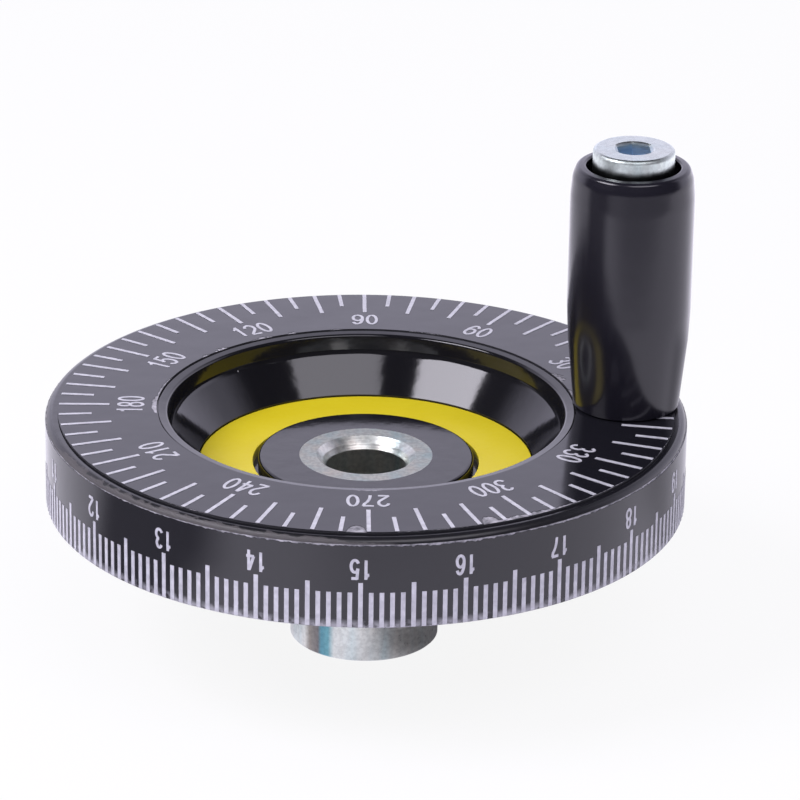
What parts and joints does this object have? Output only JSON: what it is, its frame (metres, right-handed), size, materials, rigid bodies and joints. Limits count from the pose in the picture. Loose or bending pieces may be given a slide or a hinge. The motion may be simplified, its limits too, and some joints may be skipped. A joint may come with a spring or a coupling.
{
  "type": "machine handwheel",
  "caption": "Dished moulded handwheel with graduated face and rim, steel hub bush and a revolving handle on a shoulder screw.",
  "frame": {"origin": "centre of the hub's rear end face, on the bore's axis", "axes": "+Z along the bore towards the handle, +X from the bore's axis to the handle's axis"},
  "size_m": [0.0801, 0.08, 0.0645],
  "materials": {
    "black_moulding": "gloss",
    "zinc_plated_steel": "satin",
    "yellow_plastic": "satin",
    "label_film": "gloss",
    "white_print": "satin",
    "brass": "satin"
  },
  "bodies": {
    "wheel": {"wheel_body": "black_moulding", "hub_bush": "zinc_plated_steel", "accent_ring": "yellow_plastic", "dial_label": "label_film", "degree_marks": "white_print", "rim_label": "label_film", "rim_marks": "white_print", "handle_insert": "brass", "handle_spindle": "zinc_plated_steel"},
    "grip": {"grip": "black_moulding"}
  },
  "joints": [
    {"name": "grip_spin", "type": "hinge", "parent": "wheel", "child": "grip", "pos_m": [0.03246, 0, 0.04665], "axis": [0, 0, 1], "continuous": true}
  ]
}
